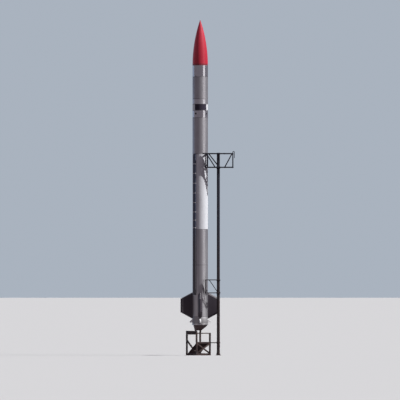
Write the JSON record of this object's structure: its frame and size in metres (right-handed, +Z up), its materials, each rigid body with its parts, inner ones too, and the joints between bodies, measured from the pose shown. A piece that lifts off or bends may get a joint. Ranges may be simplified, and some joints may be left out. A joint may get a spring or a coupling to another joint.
{
  "type": "space rocket on its launch stand",
  "caption": "Slim liquid-fuelled space rocket with finned tail and pointed nose, standing on a square steel launch stand beside a mast with swing arms.",
  "frame": {"origin": "on the floor under the rocket's axis, in the middle of the sole bar of the launch stand", "axes": "+Z up along the rocket's axis, -Y towards the front, +X towards the right fin; the mast stands in front of the right fin's tip"},
  "size_m": [1.7876, 1.3, 11.081],
  "materials": {
    "nose_red": "satin red paint",
    "polished_metal": "polished aluminium",
    "satin_metal": "mill aluminium, dulled",
    "roll_pattern": "matt black and white quarters",
    "frosted_white": "matt white, frosted",
    "black_paint": "satin black paint",
    "bright_metal": "bare bright metal",
    "heat_metal": "heat-stained alloy",
    "stand_paint": "worn dark paint on steel",
    "scorched_plate": "scorched bare steel",
    "mast_paint": "dark paint on steel pipe"
  },
  "bodies": {
    "launcher": {"nose_cone": "nose_red", "nose_shoulder": "polished_metal", "payload_bay": "satin_metal", "recovery_ring": "polished_metal", "roll_pattern_ring": "roll_pattern", "vent_ring": "polished_metal", "forward_tube": "satin_metal", "oxidiser_tank": "frosted_white", "fuel_tank": "satin_metal", "engine_bay": "satin_metal", "tail_skirt": "satin_metal", "base_ring": "bright_metal", "raceway": "black_paint", "fin_right": "black_paint", "fin_back": "black_paint", "fin_left": "black_paint", "fin_front": "black_paint", "lug_right": "bright_metal", "lug_back": "bright_metal", "lug_left": "bright_metal", "lug_front": "bright_metal", "thrust_yoke": "heat_metal", "launch_stool": "stand_paint", "stand_base_frame": "stand_paint", "stand_post_left": "stand_paint", "stand_post_front": "stand_paint", "stand_post_right": "stand_paint", "stand_post_back": "stand_paint", "stand_top_frame": "stand_paint", "stand_header": "stand_paint", "stand_mid_rail": "stand_paint", "stand_cross_brace": "stand_paint", "stand_side_brace": "stand_paint", "flame_deflector": "scorched_plate", "mast": "mast_paint", "mast_foot": "mast_paint", "mast_collar_upper": "mast_paint", "mast_collar_lower": "mast_paint", "mast_tie": "mast_paint"},
    "gimbal": {"gimbal_ring": "heat_metal"},
    "engine": {"engine": "heat_metal"},
    "upper_arm": {"upper_arm": "mast_paint"},
    "lower_arm": {"lower_arm": "mast_paint"}
  },
  "joints": [
    {"name": "upper_arm_swing", "type": "hinge", "parent": "launcher", "child": "upper_arm", "pos_m": [0.598, -0.22, 6.4], "axis": [0, 0, 1], "range_deg": [0, 90]},
    {"name": "lower_arm_swing", "type": "hinge", "parent": "launcher", "child": "lower_arm", "pos_m": [0.598, -0.22, 2.3], "axis": [0, 0, 1], "range_deg": [0, 90]},
    {"name": "engine_pitch", "type": "hinge", "parent": "launcher", "child": "gimbal", "pos_m": [0, 0, 1.125], "axis": [1, 0, 0], "range_deg": [-4, 4]},
    {"name": "engine_yaw", "type": "hinge", "parent": "gimbal", "child": "engine", "pos_m": [0, 0, 1.125], "axis": [0, 1, 0], "range_deg": [-4, 4]}
  ]
}
